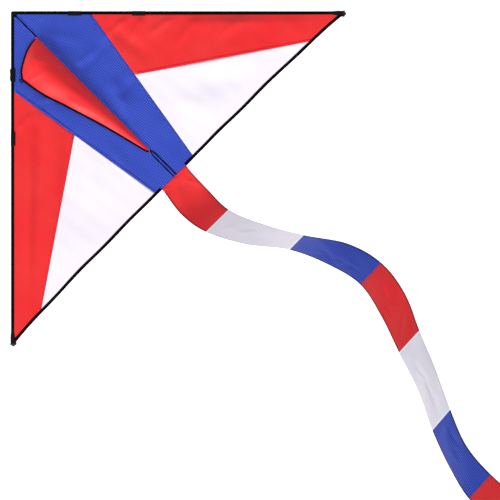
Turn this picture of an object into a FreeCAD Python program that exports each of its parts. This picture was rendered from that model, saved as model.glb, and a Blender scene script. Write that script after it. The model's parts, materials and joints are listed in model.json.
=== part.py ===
"""Single-line delta kite with a sewn-on ribbon tail, lying keel side up on the surface it rests on.

The spine lies along Y with the nose towards +Y, the wings reach to -X (left) and +X (right), and +Z is
up. The origin is on the resting surface, in the middle of the kite's laid-out length. Millimetres.

Places on the kite are given as (x, s): x across the kite, and s back from the nose tip along the spine.
The kite rests on its spreader, which crosses behind the sail and hooks round the leading-edge rods.
"""
import math
import os

import FreeCAD
import Part
from FreeCAD import Vector

# Driving dimensions of the sail's plan.
HALF_SPAN = 603.0            # spine to wing tip
TRAILING_S = 593.0           # nose to trailing edge, on the spine
TRAILING_SWEEP = 12.0        # how much further back the trailing edge is at the tip
BLUE_LEADING_X = 144.0       # where the blue panel's seam meets the leading edge
BLUE_TRAILING_X = 67.0       # and the trailing edge
STRIPE_SEAM_S = 338.0        # where the red and white panels' seam meets the blue panel
STRIPE_TRAILING_X = 492.0    # and the trailing edge

# Rods, sleeves and cloth.
ROD_R = 2.0
CLOTH = 0.8                  # stand-in thickness of one layer of sail cloth
SLEEVE_R = 3.8
SLEEVE_BORE_R = 3.0
POCKET_R = 2.9
POCKET_BORE_R = 2.2
CAP_R = 2.8                  # vinyl caps on the rods' ends, inside the sleeves
CAP_BORE_R = 2.05
CAP_LENGTH = 12.0
CAP_END = 2.0                # closed end of a cap

# Heights above the resting surface.
FRAME_Z = 8.8                # axis of the leading-edge rods and of the spine
SAIL_Z = 11.8                # underside of the sail
HINGE_Z = SAIL_Z + CLOTH / 2 # sail mid-plane, where the wings and the keel fold
SPREADER_Z = 3.5

# Leading edge, measured along it from the nose tip.
SLEEVE_START = 16.0
POCKET_START = 800.0         # tip pocket
LEADING_LENGTH = HALF_SPAN * math.sqrt(2)
ROD_START = 24.0
ROD_END = LEADING_LENGTH - 9.0
FRONT_PATCH_AT = 162.0
REAR_PATCH_AT = 325.0        # where the spreader hooks on
PATCH_LENGTH = 34.0
PATCH_REACH = 4.0            # how far a patch reaches in over the sail
WINDOW_LENGTH = 26.0         # sleeve cut away for the hook
PANEL_EDGE = 6.2             # outline to the cloth's edge, along the leading edge

# Spine.
SPINE_START = 20.0
SPINE_END = TRAILING_S - 14.0
TAPE_HALF = 3.5
SEAM_GAP = 0.5               # between the spine tape and the wing that folds

# Trailing-edge binding.
BINDING = 7.0
BINDING_T = 2.4

# Spreader hooks.
HOOK_LENGTH = 22.0
HOOK_WALL = 1.6
HOOK_GAP = 0.2               # round the leading-edge rod
SOCKET_R = 3.5
SOCKET_LENGTH = 24.0
SOCKET_DEPTH = 20.0
SPREADER_FIT = 0.05

# Keel. It arches over the left wing: it rises from the spine, bends over, and its free edge comes down.
# One row is (s on the spine, s of the free edge, how far out the free edge is).
KEEL_ROOT_R = 6.0            # the cloth starts this far from the hinge line
KEEL_SLOPE = 1.1            # how steeply it leaves the spine
KEEL_CREST = 0.45            # share of the way out to the crest
KEEL_RISE = 0.33             # crest height over reach
KEEL_DROP = 0.5              # share of that height lost from crest to free edge
KEEL_ROWS = [
    (97.0, 98.0, 17.0),
    (108.0, 102.0, 44.0),
    (124.0, 116.0, 74.0),
    (138.0, 130.0, 92.0),
    (152.0, 146.0, 102.5),
    (190.0, 185.0, 97.0),
    (225.0, 220.0, 89.0),
    (270.0, 267.0, 73.5),
    (350.0, 356.0, 46.0),
    (412.0, 418.0, 29.0),
    (466.0, 470.0, 14.0),
]
KEEL_APEX_ROW = 4
KEEL_BINDING = 6.0
KEEL_BINDING_T = 2.0
KEEL_SHARES = (0.0, 0.25, 0.45, 0.7, 1.0)
TOW_TAB_R = 5.0
TOW_HOLE_R = 2.0
TOW_TAB_T = 2.4
TOW_TAB_OUT = 3.0            # from the keel's corner to the middle of its tab

# Tail: seams between the panels, and the middle of each panel. One row is
# (s, x of the ribbon's middle, its width seen from above, right edge's height, rise to the left edge).
TAIL_CLOTH = 1.0
TAIL_GAP = 1.6
TAIL_HEADER = 8.0            # header of the tail, sewn to the trailing edge
TAIL_STATIONS = [
    (601.0, -7.0, 85.0, 12.2, 0.0),
    (676.0, -13.0, 92.0, 3.0, 19.0),
    (752.0, -4.5, 80.5, 1.0, 44.0),
    (841.0, 38.0, 71.0, 0.6, 58.0),
    (930.0, 98.0, 53.0, 0.6, 74.0),
    (1024.0, 151.0, 74.0, 0.6, 55.0),
    (1119.0, 175.0, 78.0, 0.6, 49.0),
    (1216.0, 159.0, 85.0, 0.6, 36.0),
    (1314.0, 120.5, 77.0, 0.6, 50.0),
    (1411.0, 84.5, 70.0, 0.6, 60.0),
    (1508.0, 39.0, 70.0, 0.6, 60.0),
    (1603.0, 3.5, 68.5, 0.6, 61.0),
    (1698.0, -11.5, 83.0, 0.6, 40.0),
    (1794.0, -4.0, 85.0, 0.6, 36.0),
    (1890.0, 13.0, 87.0, 0.6, 30.0),
    (1986.0, 26.0, 88.0, 0.6, 27.0),
    (2082.0, 31.0, 90.0, 0.6, 20.0),
    (2178.0, 29.0, 91.0, 0.6, 14.0),
    (2274.0, 23.0, 92.0, 0.6, 5.0),
]
TAIL_HEM = 9.0
TAIL_COLOURS = ["red", "white", "blue"]

LAID_LENGTH = TAIL_STATIONS[-1][0] + TAIL_HEM
NOSE_Y = LAID_LENGTH / 2
UP = Vector(0, 0, 1)


def at(x, s, z=0.0):
    """A point of the row frame, from its place across and along the kite."""
    return Vector(x, NOSE_Y - s, z)


def trailing_s(x):
    """The trailing edge bows back a little towards the tips."""
    return TRAILING_S + TRAILING_SWEEP * (abs(x) / HALF_SPAN) ** 4


def prism(corners, low, high):
    """A flat piece with the given (x, s) corners, from one height to another."""
    points = [at(x, s, low) for x, s in corners]
    face = Part.Face(Part.makePolygon(points + points[:1]))
    return face.extrude(Vector(0, 0, high - low))


def leading(t, inward=SLEEVE_R, z=FRAME_Z):
    """A point of the right leading edge, t along it and so far in from the outline."""
    half = math.sqrt(0.5)
    return at((t - inward) * half, (t + inward) * half, z)


def leading_xs(t, inward):
    """The same as an (x, s) pair."""
    p = leading(t, inward)
    return p.x, NOSE_Y - p.y


def rod_between(start, end, radius):
    """A round rod from one point to another."""
    along = end - start
    return Part.makeCylinder(radius, along.Length, start, along)


def mirrored(shape):
    """The left wing's copy of a right-hand piece."""
    return shape.mirror(Vector(0, 0, 0), Vector(1, 0, 0))


def end_cap(tip, inward):
    """A vinyl cap over a rod's end. inward points from the tip along the rod."""
    start = tip - inward * CAP_END
    outside = Part.makeCylinder(CAP_R, CAP_LENGTH, start, inward)
    bore = Part.makeCylinder(CAP_BORE_R, CAP_LENGTH, tip, inward)
    return outside.cut(bore)


# Sail panels of the right wing.

def blue_panel():
    inner = TAPE_HALF + SEAM_GAP
    return prism(
        [(inner, inner + PANEL_EDGE * math.sqrt(2)), leading_xs(BLUE_LEADING_X * math.sqrt(2), PANEL_EDGE),
         (BLUE_TRAILING_X, trailing_s(0)), (inner, trailing_s(0))], SAIL_Z, SAIL_Z + CLOTH)


def stripe_corner():
    """Where the blue, red and white panels meet, on the blue panel's outer seam."""
    top = leading_xs(BLUE_LEADING_X * math.sqrt(2), PANEL_EDGE)
    share = (STRIPE_SEAM_S - top[1]) / (trailing_s(0) - top[1])
    return top[0] + share * (BLUE_TRAILING_X - top[0]), STRIPE_SEAM_S


def red_panel():
    tip = leading_xs(LEADING_LENGTH - 10, PANEL_EDGE)
    return prism(
        [leading_xs(BLUE_LEADING_X * math.sqrt(2), PANEL_EDGE), tip,
         (STRIPE_TRAILING_X, trailing_s(STRIPE_TRAILING_X)), stripe_corner()], SAIL_Z, SAIL_Z + CLOTH)


def white_panel():
    middle = (BLUE_TRAILING_X + STRIPE_TRAILING_X) / 2
    return prism(
        [stripe_corner(), (STRIPE_TRAILING_X, trailing_s(STRIPE_TRAILING_X)),
         (middle, trailing_s(middle)), (BLUE_TRAILING_X, trailing_s(0))], SAIL_Z, SAIL_Z + CLOTH)


def trailing_binding(inner_x, panels):
    """Folded tape round the trailing edge, from the tail's header out to the tip pocket."""
    xs = [inner_x, BLUE_TRAILING_X, 280.0, 400.0, STRIPE_TRAILING_X, 545.0, 571.0]
    outer = [(x, trailing_s(x)) for x in xs]
    inner = [(x, s - BINDING) for x, s in reversed(outer)]
    middle = HINGE_Z
    tape = prism(outer + inner, middle - BINDING_T / 2, middle + BINDING_T / 2)
    return tape.cut(panels)


# Leading edge of the right wing.

def leading_rod():
    return rod_between(leading(ROD_START), leading(ROD_END), ROD_R)


def sleeve():
    """The hem along the leading edge, cut away underneath where the spreader's hook goes on."""
    outside = rod_between(leading(SLEEVE_START), leading(POCKET_START), SLEEVE_R)
    bore = rod_between(leading(SLEEVE_START - 1), leading(POCKET_START + 1), SLEEVE_BORE_R)
    low, high = REAR_PATCH_AT - WINDOW_LENGTH / 2, REAR_PATCH_AT + WINDOW_LENGTH / 2
    window = prism([leading_xs(low, -2), leading_xs(high, -2), leading_xs(high, 10), leading_xs(low, 10)],
                   0, FRAME_Z + ROD_R)
    return outside.cut(bore).cut(window)


def patch(centre):
    """Webbing patch over the leading edge, reaching in over the sail."""
    low, high = centre - PATCH_LENGTH / 2, centre + PATCH_LENGTH / 2
    reach = 2 * SLEEVE_R + PATCH_REACH
    corners = [leading_xs(low, 1.0), leading_xs(high, 1.0), leading_xs(high, reach), leading_xs(low, reach)]
    return prism(corners, SAIL_Z + CLOTH, SAIL_Z + 2 * CLOTH)


def tip_pocket(panels):
    """The pocket that holds the rod's end at the wing tip, wider towards the tip."""
    end = LEADING_LENGTH - 2.0
    corners = [leading_xs(POCKET_START, -0.4), leading_xs(end, -1.5), leading_xs(end, 13.0),
               leading_xs(POCKET_START, 8.4)]
    block = prism(corners, FRAME_Z - SLEEVE_R - 0.6, SAIL_Z + 2 * CLOTH)
    bore = rod_between(leading(POCKET_START - 1), leading(ROD_END + CAP_END + 0.2), SLEEVE_BORE_R)
    return block.cut(bore).cut(panels)


def tip_knot():
    """Round stop on the pocket's outer end. The wing tip stands on it."""
    centre = leading(LEADING_LENGTH + 2.2, 5.6, 4.2)
    ball = Part.makeSphere(4.2, centre)
    return ball.cut(prism([leading_xs(LEADING_LENGTH - 12, -8), leading_xs(LEADING_LENGTH - 2, -8),
                           leading_xs(LEADING_LENGTH - 2, 20), leading_xs(LEADING_LENGTH - 12, 20)], 0, 30))


# Spine and nose.

def spine_rod():
    return rod_between(at(0, SPINE_START, FRAME_Z), at(0, SPINE_END, FRAME_Z), ROD_R)


def spine_pocket():
    """Cloth pocket along the sail's back that holds the spine between its two caps."""
    start, end = SPINE_START + CAP_LENGTH, SPINE_END - CAP_LENGTH
    outside = rod_between(at(0, start, FRAME_Z), at(0, end, FRAME_Z), POCKET_R)
    return outside.cut(rod_between(at(0, start - 1, FRAME_Z), at(0, end + 1, FRAME_Z), POCKET_BORE_R))


def spine_tape():
    """Seam tape over the spine, in the plane of the sail."""
    return prism([(-TAPE_HALF, 16.0), (TAPE_HALF, 16.0), (TAPE_HALF, TRAILING_S), (-TAPE_HALF, TRAILING_S)],
                 SAIL_Z, SAIL_Z + CLOTH)


def nose_patch(sail):
    """Webbing folded over the nose, ending short of the wing that folds."""
    corners = [(-10.0, 10.0), (0.0, 0.0), (3.5, 3.5), (3.5, 13.0), (0.0, 15.0), (-2.0, 18.0)]
    return prism(corners, FRAME_Z - SLEEVE_R, SAIL_Z + 2 * CLOTH).cut(sail)


# Spreader.

def hook_plan():
    """(x, s) of the right-hand hook's middle, under the leading-edge rod."""
    return leading_xs(REAR_PATCH_AT, SLEEVE_R)


def spreader_hook():
    """Moulded hook: an open channel under the leading-edge rod, and a socket for the spreader."""
    half, wide = HOOK_LENGTH / 2, ROD_R + HOOK_GAP + HOOK_WALL
    low, high = REAR_PATCH_AT - half, REAR_PATCH_AT + half
    middle = SLEEVE_R
    corners = [leading_xs(low, middle - wide), leading_xs(high, middle - wide),
               leading_xs(high, middle + wide), leading_xs(low, middle + wide)]
    block = prism(corners, 0, FRAME_Z + 1.6)
    gap = ROD_R + HOOK_GAP
    slot = [leading_xs(low - 1, middle - gap), leading_xs(high + 1, middle - gap),
            leading_xs(high + 1, middle + gap), leading_xs(low - 1, middle + gap)]
    channel = rod_between(leading(low - 1), leading(high + 1), gap)
    x, s = hook_plan()
    socket = rod_between(at(x, s, SPREADER_Z), at(x - SOCKET_LENGTH, s, SPREADER_Z), SOCKET_R)
    bore = rod_between(at(x - SOCKET_LENGTH + SOCKET_DEPTH, s, SPREADER_Z),
                       at(x - SOCKET_LENGTH - 1, s, SPREADER_Z), ROD_R + SPREADER_FIT)
    body = block.fuse(socket).cut(bore)
    return body.cut(prism(slot, FRAME_Z, FRAME_Z + 4)).cut(channel)


def spreader_rod():
    x, s = hook_plan()
    end = x - SOCKET_LENGTH + SOCKET_DEPTH
    return rod_between(at(-end, s, SPREADER_Z), at(end, s, SPREADER_Z), ROD_R)


# Folded and rippled cloth, built from flat facets.

def facets(rows, thickness):
    """A closed sheet of flat facets. rows hold the points of its top side, thickness is straight down."""
    down = Vector(0, 0, -thickness)
    faces = []

    def facet(*points):
        faces.append(Part.Face(Part.makePolygon(list(points) + [points[0]])))

    for first, second in zip(rows, rows[1:]):
        for a, b, c, d in zip(first, first[1:], second, second[1:]):
            facet(a, c, b)
            facet(b, c, d)
            facet(a + down, b + down, c + down)
            facet(b + down, d + down, c + down)
        for a, c in ((first[0], second[0]), (first[-1], second[-1])):
            facet(a, a + down, c + down, c)
    for row in (rows[0], rows[-1]):
        for a, b in zip(row, row[1:]):
            facet(a, b, b + down, a + down)
    solid = Part.makeSolid(Part.makeShell(faces))
    if solid.Volume < 0:
        solid.reverse()
    return solid


# Keel.

def keel_rise(out, reach):
    """Height of the keel's arch over the sail, at a distance out, where its free edge is reach out."""
    share = out / reach
    crest = KEEL_RISE * reach
    rise = crest * math.sin(math.pi / 2 * min(share / KEEL_CREST, 1.0))
    past = min(max((share - KEEL_CREST) / (1.0 - KEEL_CREST), 0.0), 1.0)
    drop = KEEL_DROP * crest * past * past * (3 - 2 * past)
    return min(rise, KEEL_SLOPE * out) - drop


def keel_point(row, out):
    """A point of the keel's middle surface on a row, so far out from the spine."""
    root_s, edge_s, reach = row
    s = root_s + (edge_s - root_s) * out / reach
    return at(-out, s, HINGE_Z + keel_rise(out, reach))


def keel_panel():
    rows = []
    for row in KEEL_ROWS:
        span = row[2] - KEEL_BINDING - KEEL_ROOT_R
        rows.append([keel_point(row, KEEL_ROOT_R + share * span) + UP * (CLOTH / 2) for share in KEEL_SHARES])
    return facets(rows, CLOTH)


def keel_binding(first, last):
    """Folded tape round the keel's free edge, between two of its rows."""
    rows = []
    for row in KEEL_ROWS[first:last + 1]:
        rows.append([keel_point(row, out) + UP * (KEEL_BINDING_T / 2) for out in (row[2] - KEEL_BINDING, row[2])])
    return facets(rows, KEEL_BINDING_T)


def tow_tab_middle():
    corner = KEEL_ROWS[KEEL_APEX_ROW]
    return keel_point(corner, corner[2]) + Vector(-TOW_TAB_OUT, 0, 0)


def tow_tab():
    """Round tab at the keel's corner, with the hole that takes the flying line's clip."""
    base = tow_tab_middle() - UP * (TOW_TAB_T / 2)
    disc = Part.makeCylinder(TOW_TAB_R, TOW_TAB_T, base, UP)
    return disc.cut(Part.makeCylinder(TOW_HOLE_R, TOW_TAB_T, base, UP))


def keel_pieces():
    """The keel's cloth, its two lengths of binding, and the tab at its corner for the flying line."""
    tab = tow_tab()
    clear = Part.makeCylinder(TOW_TAB_R, TOW_TAB_T + 8, tow_tab_middle() - UP * (TOW_TAB_T / 2 + 4), UP)
    return {
        "keel_panel": keel_panel().cut(clear),
        "keel_front_binding": keel_binding(0, KEEL_APEX_ROW).cut(clear),
        "keel_rear_binding": keel_binding(KEEL_APEX_ROW, len(KEEL_ROWS) - 1).cut(clear),
        "tow_tab": tab,
    }


# Tail.

def tail_row(station, shift=0.0):
    """The two edges of the ribbon's top side at a station, moved back by shift."""
    s, middle, width, low, rise = station
    top = TAIL_CLOTH / 2
    return (at(middle - width / 2, s + shift, low + rise + top), at(middle + width / 2, s + shift, low + top))


def tail_panel(number):
    """Panel number of the tail, from its seam to the next one."""
    first, middle, last = TAIL_STATIONS[2 * number - 2:2 * number + 1]
    return facets([tail_row(first, TAIL_GAP / 2), tail_row(middle), tail_row(last, -TAIL_GAP / 2)], TAIL_CLOTH)


def tail_hinge(number):
    """Place and direction of the seam at the front of a tail panel."""
    left, right = tail_row(TAIL_STATIONS[2 * number - 2])
    across = right - left
    across.normalize()
    middle = (left + right) * 0.5 - UP * (TAIL_CLOTH / 2)
    return middle, across


def tail_header():
    """The end of the tail that is sewn to the sail, between the two lengths of binding."""
    s, middle, width, low, rise = TAIL_STATIONS[0]
    left, right = middle - width / 2, middle + width / 2
    start, end = s - TAIL_HEADER, s - TAIL_GAP / 2
    corners = [(left, start), (TAPE_HALF, start), (TAPE_HALF, start + SEAM_GAP), (right, start + SEAM_GAP),
               (right, end), (left, end)]
    return prism(corners, HINGE_Z - BINDING_T / 2, HINGE_Z + BINDING_T / 2)


def tail_end_hem():
    """Turned and stitched hem at the tail's free end."""
    last = TAIL_STATIONS[-1]
    rows = [tail_row(last, -TAIL_GAP / 2), tail_row(last, TAIL_HEM)]
    return facets([(a + UP * 0.4, b + UP * 0.4) for a, b in rows], TAIL_CLOTH + 0.4)


def pieces():
    """Every piece of the kite by node name."""
    made = {
        "spine_rod": spine_rod(),
        "spine_pocket": spine_pocket(),
        "spine_tape": spine_tape(),
        "spine_cap_front": end_cap(at(0, SPINE_START, FRAME_Z), Vector(0, -1, 0)),
        "spine_cap_rear": end_cap(at(0, SPINE_END, FRAME_Z), Vector(0, 1, 0)),
        "spreader_rod": spreader_rod(),
        "tail_header": tail_header(),
        "tail_end_hem": tail_end_hem(),
    }
    panels = [blue_panel(), red_panel(), white_panel()]
    sail = panels[0].fuse(panels[1:])
    made["nose_patch"] = nose_patch([spine_tape(), mirrored(panels[0])])
    header_side = {"right": TAIL_STATIONS[0][1] + TAIL_STATIONS[0][2] / 2,
                   "left": TAIL_STATIONS[0][2] / 2 - TAIL_STATIONS[0][1]}
    along = leading(ROD_END) - leading(ROD_START)
    along.normalize()
    wing = {
        "blue_panel": panels[0],
        "red_panel": panels[1],
        "white_panel": panels[2],
        "leading_rod": leading_rod(),
        "leading_sleeve": sleeve(),
        "front_patch": patch(FRONT_PATCH_AT),
        "rear_patch": patch(REAR_PATCH_AT),
        "rod_nose_cap": end_cap(leading(ROD_START), along),
        "rod_tip_cap": end_cap(leading(ROD_END), -along),
        "tip_pocket": tip_pocket(sail),
        "tip_knot": tip_knot(),
        "spreader_hook": spreader_hook(),
    }
    for side in ("right", "left"):
        gap = SEAM_GAP if side == "right" else 0.0
        wing["trailing_binding"] = trailing_binding(header_side[side] + gap, sail)
        for name, shape in wing.items():
            made[f"{side}_{name}"] = shape if side == "right" else mirrored(shape)
    made.update(keel_pieces())
    for number in range(1, len(TAIL_STATIONS) // 2 + 1):
        colour = TAIL_COLOURS[(number - 1) % len(TAIL_COLOURS)]
        made[f"tail_panel_{number}_{colour}"] = tail_panel(number)
    return made


def main():
    os.makedirs("parts", exist_ok=True)
    made = pieces()
    whole = Part.makeCompound(list(made.values())).BoundBox
    print(f"{len(made)} nodes, {whole.XLength:.1f} x {whole.YLength:.1f} x {whole.ZLength:.1f} mm")
    print(f"lowest point {whole.ZMin:.2f}, middle ({whole.Center.x:.2f}, {whole.Center.y:.2f})")
    for name, shape in made.items():
        if not shape.isValid() or shape.Volume <= 0:
            print(f"{name}: not a valid solid")
        shape.exportStep(f"parts/{name}.step")


if __name__ == "__main__":
    main()
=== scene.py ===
# %% [markdown]
# # A delta kite laid out keel side up
# The frame below holds the kite's rods, caps and hooks as they were designed, each on the body it
# moves with. Blender adds what the design leaves plain: the cloth with its folds and seams, the bound
# edges, the webbing and the finishes. Sizes are in millimetres here, and a place on the kite is given as
# x across it and s back from the nose along the spine, because that is how a kite maker measures.

import json
import math
import random

import bpy
import numpy as np
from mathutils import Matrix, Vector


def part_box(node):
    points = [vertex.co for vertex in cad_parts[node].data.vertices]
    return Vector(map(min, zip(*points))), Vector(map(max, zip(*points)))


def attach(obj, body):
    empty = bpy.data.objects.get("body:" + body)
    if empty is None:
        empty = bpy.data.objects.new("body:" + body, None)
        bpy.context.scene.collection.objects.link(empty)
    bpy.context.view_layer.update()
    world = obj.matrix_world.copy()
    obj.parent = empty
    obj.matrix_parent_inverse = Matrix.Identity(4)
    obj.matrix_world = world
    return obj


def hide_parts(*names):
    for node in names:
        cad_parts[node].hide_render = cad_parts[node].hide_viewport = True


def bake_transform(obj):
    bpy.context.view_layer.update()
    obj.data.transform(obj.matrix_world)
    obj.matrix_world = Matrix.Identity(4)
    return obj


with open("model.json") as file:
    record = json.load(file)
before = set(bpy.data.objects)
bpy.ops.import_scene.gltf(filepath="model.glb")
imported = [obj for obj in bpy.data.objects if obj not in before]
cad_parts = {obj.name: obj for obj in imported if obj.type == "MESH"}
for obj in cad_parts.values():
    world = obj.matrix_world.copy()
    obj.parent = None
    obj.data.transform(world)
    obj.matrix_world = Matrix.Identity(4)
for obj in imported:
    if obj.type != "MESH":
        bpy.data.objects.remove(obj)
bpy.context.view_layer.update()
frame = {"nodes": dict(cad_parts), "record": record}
MM = 0.001
NOSE_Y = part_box("nose_patch")[1].y / MM
SAIL_Z = 12.2            # middle of the sail's cloth above the floor
ROD_Z = 8.8              # middle of the leading-edge rods
TRAILING_S = 593.0       # the sail's trailing edge on the spine
ROOT, RIGHT = "frame_and_left_wing", "right_wing"
body_of_side = {1: RIGHT, -1: ROOT}      # side is 1 on the right wing and -1 on the left
name_of_side = {1: "right", -1: "left"}


def place(x, s, z):
    """A place on the kite as a point in metres."""
    return x * MM, (NOSE_Y - s) * MM, z * MM


print("nose at y =", round(NOSE_Y, 1), "mm, sail at", SAIL_Z, "mm")

# %% [markdown]
# ## Camera, floor and light
# The kite is looked at from straight above, turned so that its spine runs down to the right. A long lens
# keeps the wings' edges parallel. The light is one broad soft source low on the keel's side, so the keel
# shades the cloth beyond it, with a pale room all round. A floor that is nearly white, and gives off a
# little light of its own, keeps the shadows faint.

# %% Camera
VIEW_WIDTH = 1274.0
VIEW_MIDDLE = (0.6, 859.7)
LENS, SENSOR = 200.0, 36.0
camera_data = bpy.data.cameras.new("overhead_camera")
camera_data.lens = LENS
camera_data.sensor_width = SENSOR
camera_data.clip_end = 60
camera = bpy.data.objects.new("overhead_camera", camera_data)
camera.location = place(*VIEW_MIDDLE, VIEW_WIDTH * LENS / SENSOR)
camera.rotation_euler = (0, 0, math.radians(-45))
bpy.context.scene.collection.objects.link(camera)
bpy.context.scene.camera = camera
print("camera is", round(camera.location.z, 2), "m up")


# %% Nodes and colours
def linear(code):
    """An sRGB hex colour as Blender's linear colour."""
    parts = [int(code[i:i + 2], 16) / 255 for i in (1, 3, 5)]
    return tuple(c / 12.92 if c <= 0.04045 else ((c + 0.055) / 1.055) ** 2.4 for c in parts) + (1.0,)


def add_node(tree, kind, links=None, **settings):
    """A new node. links gives each input's value, or the output that feeds it."""
    node = tree.nodes.new("ShaderNode" + kind)
    for name, value in settings.items():
        setattr(node, name, value)
    for name, value in (links or {}).items():
        if isinstance(value, bpy.types.NodeSocket):
            tree.links.new(value, node.inputs[name])
        else:
            node.inputs[name].default_value = value
    return node


def blend_colours(tree, share, first, second):
    """A colour between two. A mix node keeps a set of inputs for each kind of value; colours are 6 and 7."""
    return add_node(tree, "Mix", {0: share, 6: first, 7: second}, data_type="RGBA").outputs[2]


def finish_material(name, links):
    """An empty material with one Principled shader, and what feeds the shader."""
    material = bpy.data.materials.new(name)
    material.use_nodes = True
    tree = material.node_tree
    tree.nodes.clear()
    shader = add_node(tree, "BsdfPrincipled")
    out = add_node(tree, "OutputMaterial", {"Surface": shader.outputs[0]})
    for socket, value in links(tree).items():
        if isinstance(value, bpy.types.NodeSocket):
            tree.links.new(value, shader.inputs[socket])
        else:
            shader.inputs[socket].default_value = value
    out.location.x = 300
    return material


print("one red is", [round(c, 3) for c in linear("#FA2226")[:3]], "in linear colour")

# %% Floor and room light
FLOOR_GLOW = 0.62
ROOM_GLOW = 0.74


def pale_floor(tree):
    return {"Base Color": linear("#F4F4F6"), "Roughness": 0.9,
            "Emission Color": linear("#FFFFFF"), "Emission Strength": FLOOR_GLOW}


bpy.ops.object.select_all(action="DESELECT")
bpy.ops.mesh.primitive_plane_add(size=24.0)
floor = bpy.context.object
floor.name = "floor"
floor.data.materials.append(finish_material("pale_floor", pale_floor))

room = bpy.data.worlds.new("pale_room")
room.use_nodes = True
room.node_tree.nodes["Background"].inputs["Color"].default_value = linear("#F5F7FF")
room.node_tree.nodes["Background"].inputs["Strength"].default_value = ROOM_GLOW
bpy.context.scene.world = room
bpy.context.scene.view_settings.view_transform = "Standard"

print("floor and room glow", FLOOR_GLOW, "and", ROOM_GLOW)

# %% The broad low light
LIGHT_STRENGTH = 3.9
LIGHT_SPREAD = 16        # degrees, wide enough to soften the keel's shadow
LIGHT_TILT, LIGHT_TURN = -68, 28
lamp = bpy.data.lights.new("broad_low_light", "SUN")
lamp.energy = LIGHT_STRENGTH
lamp.angle = math.radians(LIGHT_SPREAD)
lamp.color = linear("#FFF9F6")[:3]
light = bpy.data.objects.new("broad_low_light", lamp)
light.rotation_euler = (0, math.radians(LIGHT_TILT), math.radians(LIGHT_TURN))
bpy.context.scene.collection.objects.link(light)
print("one soft light,", round(math.degrees(lamp.angle)), "degrees across")

# %% [markdown]
# ## Ripstop polyester
# Kite cloth is thin polyester woven with a thicker thread every few millimetres, which stops a tear. The
# thick threads stand out as a fine square grid, and the cloth has a soft sheen. An image could carry that
# grid, but two sets of waves crossing at right angles give it at any size. The grid reads the UV map,
# which holds each point's place in the flat cloth in metres, so it follows the folds.

# %% Ripstop cloth in its colours
RIPSTOP_PITCH = 5.2      # from one thick thread to the next
GRAIN_TURN = -8.0        # degrees from the cloth's grain to the spine
WAVE_PERIOD = 2 * math.pi / 20


def ripstop(name, ground, thread, bloom, grid, turn=GRAIN_TURN):
    """Cloth of one colour. thread is the grid's colour, bloom the paler patches, grid how strong it is."""
    def links(tree):
        flat = add_node(tree, "UVMap", uv_map="flat")
        grain = add_node(tree, "Mapping", {"Vector": flat.outputs[0], "Rotation": (0, 0, math.radians(turn))})
        threads = [add_node(tree, "TexWave", {"Vector": grain.outputs[0], "Distortion": 0.0,
                                              "Scale": WAVE_PERIOD / (RIPSTOP_PITCH * MM)},
                            bands_direction=way) for way in ("X", "Y")]
        weave = add_node(tree, "Math", {0: threads[0].outputs["Fac"], 1: threads[1].outputs["Fac"]},
                         operation="MAXIMUM")
        raised = add_node(tree, "MapRange", {"Value": weave.outputs[0], "From Min": 0.52, "From Max": 0.95},
                          interpolation_type="SMOOTHSTEP")
        patches = add_node(tree, "TexNoise", {"Vector": flat.outputs[0], "Scale": 9.0, "Detail": 3.0})
        share = add_node(tree, "MapRange", {"Value": patches.outputs["Fac"], "From Min": 0.38,
                                            "From Max": 0.68, "To Max": 0.55})
        tone = blend_colours(tree, share.outputs[0], linear(ground), linear(bloom))
        faint = add_node(tree, "Math", {0: raised.outputs[0], 1: grid}, operation="MULTIPLY")
        colour = blend_colours(tree, faint.outputs[0], tone, linear(thread))
        fine = add_node(tree, "TexNoise", {"Vector": flat.outputs[0], "Scale": 900.0, "Detail": 2.0})
        height = add_node(tree, "Math", {0: fine.outputs["Fac"], 1: 0.25, 2: raised.outputs[0]},
                          operation="MULTIPLY_ADD")
        bump = add_node(tree, "Bump", {"Height": height.outputs[0], "Strength": 0.35, "Distance": 0.00012})
        return {"Base Color": colour, "Roughness": 0.52, "Normal": bump.outputs[0],
                "Sheen Weight": 0.12, "Sheen Roughness": 0.4, "Specular IOR Level": 0.35}
    return finish_material(name, links)


blue_cloth = ripstop("ripstop_polyester_blue", "#3856CC", "#182F98", "#4765DA", 1.0)
red_cloth = ripstop("ripstop_polyester_red", "#FA2226", "#B6060E", "#FF3E39", 0.62)
white_cloth = ripstop("ripstop_polyester_white", "#F1EDF3", "#E2DFE9", "#FBEEF0", 0.3)
# The tail's hem strips are doubled cloth, but these colours are much darker than doubling makes them: they
# are painted shade along the rolled hems.
blue_hem_shade = ripstop("hemmed_ripstop_blue_painted_shade", "#14246E", "#0C1650", "#182A7A", 1.0)
red_hem_shade = ripstop("hemmed_ripstop_red_painted_shade", "#96101A", "#78080E", "#A4141C", 0.6)
white_hem_shade = ripstop("hemmed_ripstop_white_painted_shade", "#E6E5EC", "#D8D8E2", "#F2F0F4", 0.3)
# The tail's laps beside white panels are white cloth, made brighter than the cloth itself: a painted
# highlight along the raised seams.
white_seam_highlight = ripstop("lapped_ripstop_white_painted_highlight", "#FFFFFF", "#F6F6FA", "#FFFFFF", 0.2)
print("grid of", RIPSTOP_PITCH, "mm")

# %% [markdown]
# ## Black tape, webbing, vinyl, plastic and fibreglass
# The edges are bound in a tightly woven matt tape, and the corners in a coarser webbing whose ribs show.
# The rods are pultruded fibreglass, drawn through a die, which leaves faint lines along them. The hooks
# are moulded plastic with a fine spark-eroded grain, and the caps are soft vinyl.


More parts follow.
